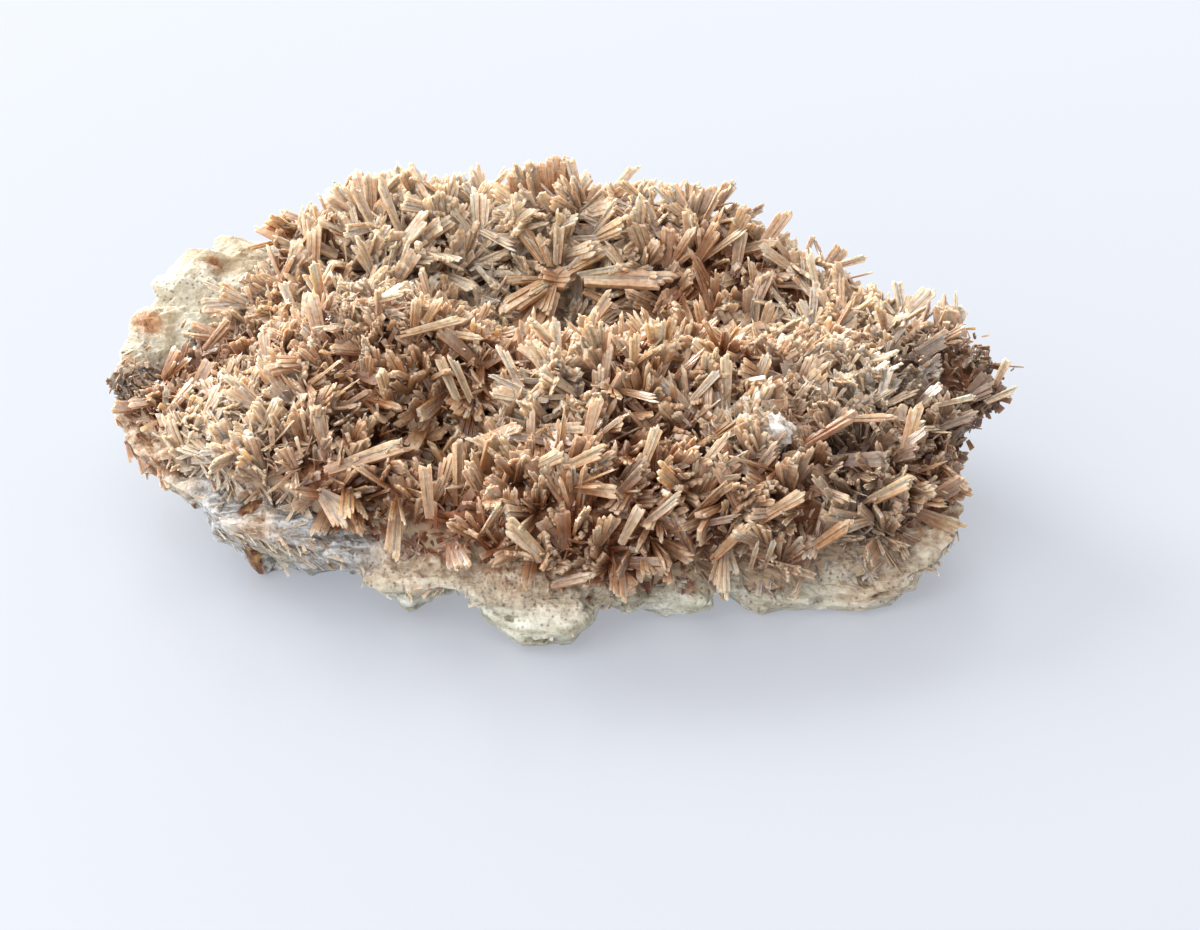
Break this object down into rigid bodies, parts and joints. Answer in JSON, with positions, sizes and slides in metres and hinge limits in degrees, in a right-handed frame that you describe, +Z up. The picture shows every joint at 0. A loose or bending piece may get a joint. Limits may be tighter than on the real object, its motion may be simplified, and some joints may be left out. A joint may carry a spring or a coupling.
{
  "type": "inesite specimen",
  "caption": "Mineral specimen: a plate of pale quartz-bearing rock grown over by a crust of pinkish tan bladed inesite crystals, resting on its flat broken underside.",
  "frame": {"origin": "middle of the bounding box, on the flat underside that the specimen rests on", "axes": "+X along the plate's length towards the pointed end with the raised hump, +Y from the front with the scalloped rim to the back rim, +Z up"},
  "size_m": [0.0628, 0.0458, 0.0181],
  "materials": {
    "rock": "rough, cream to grey-green, faintly translucent at thin edges",
    "inesite": "silky to glassy, finely striated along the blades",
    "quartz": "translucent white, waxy"
  },
  "bodies": {
    "root": {"matrix_rock": "rock", "inesite_crust": "inesite", "quartz_knob": "quartz"}
  },
  "joints": []
}
